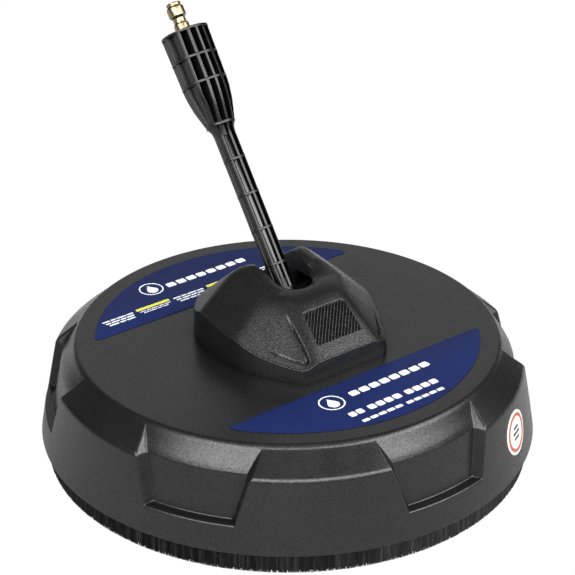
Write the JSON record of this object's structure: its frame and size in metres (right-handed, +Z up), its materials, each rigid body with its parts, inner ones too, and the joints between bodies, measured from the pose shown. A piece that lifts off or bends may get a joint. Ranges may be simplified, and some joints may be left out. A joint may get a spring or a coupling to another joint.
{
  "type": "surface cleaner",
  "caption": "Round pressure-washer surface cleaner: brush-skirted housing, spinning spray bar on a water swivel, and a tilting ribbed lance with a quick-connect plug.",
  "frame": {"origin": "centre of the floor plane under the brush ring, on the rotor's axis", "axes": "+Z up; -Y towards the front label and the cover's ribbed patch; the lance leans back towards +Y; +X to the right seen from the front"},
  "size_m": [0.33, 0.33, 0.2749],
  "materials": {
    "housing_plastic": "moulded black plastic, fine grain",
    "cover_plastic": "moulded black plastic, satin",
    "lance_plastic": "moulded black plastic, satin",
    "channel_plastic": "extruded black plastic",
    "bristle": "packed nylon bristles",
    "label_blue": "printed film",
    "sticker_white": "printed film",
    "brass": "machined",
    "steel": "turned",
    "rubber": "moulded"
  },
  "bodies": {
    "deck": {"deck_housing": "housing_plastic", "front_label": "label_blue", "rear_label": "label_blue", "round_sticker": "sticker_white", "brush_channel": "channel_plastic", "brush_skirt": "bristle", "brush_screw_1": "steel", "brush_screw_2": "steel", "brush_screw_3": "steel", "brush_screw_4": "steel", "brush_screw_5": "steel", "brush_screw_6": "steel", "hub_cover": "cover_plastic", "cover_screw_1": "steel", "cover_screw_2": "steel", "cover_screw_3": "steel", "cover_screw_4": "steel", "swivel_manifold": "brass", "manifold_gasket": "rubber", "manifold_nut": "steel", "upper_bearing_outer_race": "steel", "lower_bearing_outer_race": "steel", "bearing_spacer": "steel", "bearing_circlip": "steel", "shaft_seal": "rubber", "pivot_pin": "steel", "pivot_bush_left": "brass", "pivot_bush_right": "brass", "pivot_o_ring_left": "rubber", "pivot_o_ring_right": "rubber", "pin_washer": "steel", "pin_nut": "steel"},
    "rotor": {"rotor_shaft": "steel", "upper_bearing_inner_race": "steel", "lower_bearing_inner_race": "steel", "inner_spacer": "steel", "rotor_hub": "brass", "lock_washer": "steel", "shaft_nut": "steel", "spray_arm_left": "steel", "spray_arm_right": "steel", "nozzle_elbow_left": "brass", "nozzle_elbow_right": "brass", "spray_nozzle_left": "brass", "spray_nozzle_right": "brass"},
    "upper_balls": {"upper_ball_cage": "steel"},
    "lower_balls": {"lower_ball_cage": "steel"},
    "lance": {"trunnion_block": "brass", "lance_tube": "steel", "wand_shell": "lance_plastic", "quick_connect_plug": "brass"}
  },
  "joints": [
    {"name": "lance_tilt", "type": "hinge", "parent": "deck", "child": "lance", "pos_m": [0, -0.0022, 0.10433], "axis": [-1, 0, 0], "range_deg": [-36.7, 40]},
    {"name": "rotor_spin", "type": "hinge", "parent": "deck", "child": "rotor", "pos_m": [0, 0, 0.05], "axis": [0, 0, 1], "continuous": true},
    {"name": "upper_balls_spin", "type": "hinge", "parent": "deck", "child": "upper_balls", "pos_m": [0, 0, 0.064], "axis": [0, 0, 1], "continuous": true},
    {"name": "lower_balls_spin", "type": "hinge", "parent": "deck", "child": "lower_balls", "pos_m": [0, 0, 0.0495], "axis": [0, 0, 1], "continuous": true}
  ],
  "couplings": [
    {"joint": "upper_balls_spin", "follows": "rotor_spin", "ratio": 0.4},
    {"joint": "lower_balls_spin", "follows": "rotor_spin", "ratio": 0.4}
  ]
}
